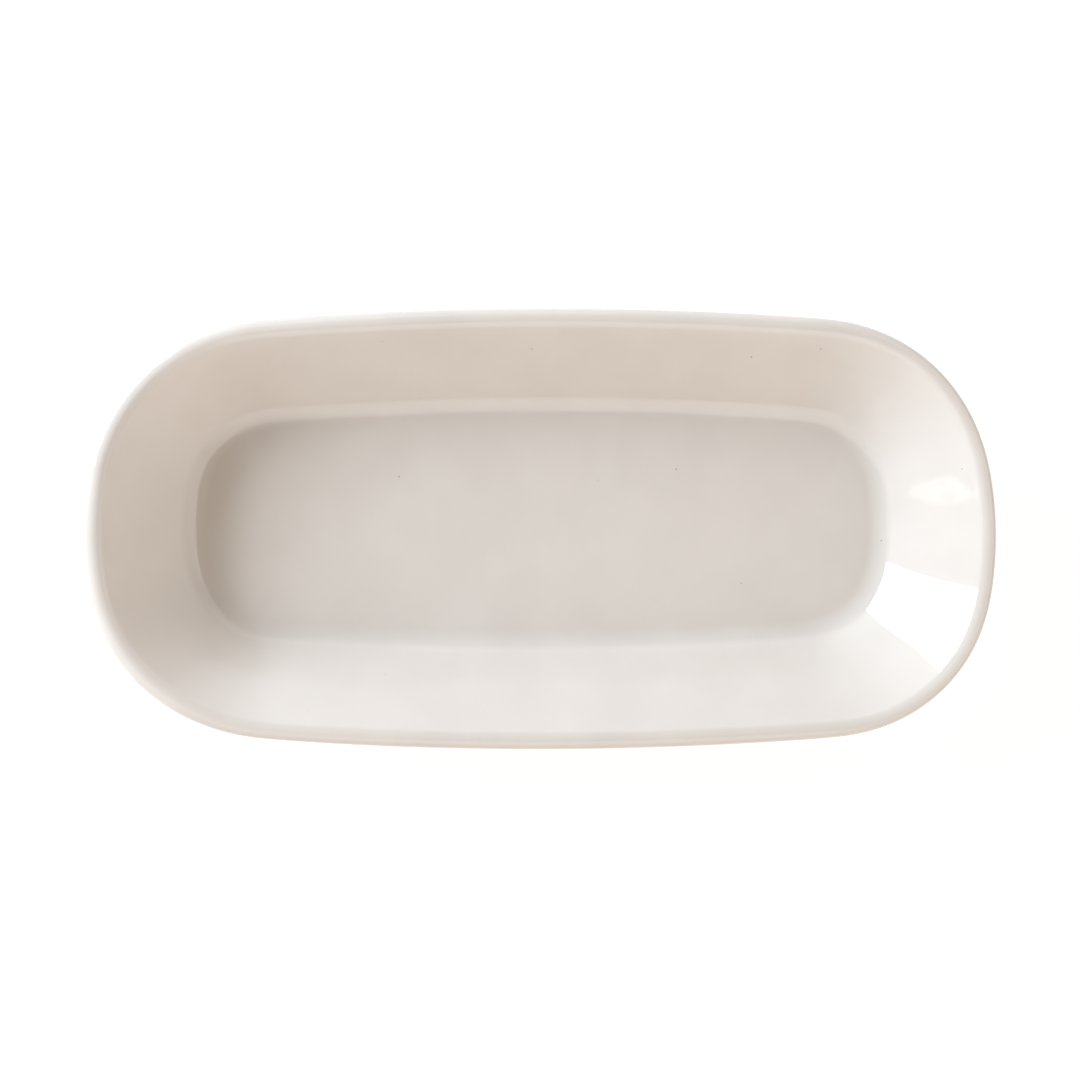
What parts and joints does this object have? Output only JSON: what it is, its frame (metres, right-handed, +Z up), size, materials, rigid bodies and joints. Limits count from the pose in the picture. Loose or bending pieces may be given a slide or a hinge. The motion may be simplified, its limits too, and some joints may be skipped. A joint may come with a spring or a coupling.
{
  "type": "asparagus plate",
  "caption": "Long oval stoneware serving plate with a flat floor, an evenly flared wall, a rounded lip and a low foot ring, in a warm off-white glaze.",
  "frame": {"origin": "middle of the plate, on the table that the foot ring stands on", "axes": "+X along the length, +Y across the width, +Z up out of the well"},
  "size_m": [0.33, 0.16, 0.038],
  "materials": {
    "fired_clay": "matt, bare fired stoneware",
    "glaze": "glossy warm off-white glaze"
  },
  "bodies": {
    "root": {"stoneware_body": "fired_clay", "glaze_coat": "glaze", "base_glaze": "glaze"}
  },
  "joints": []
}
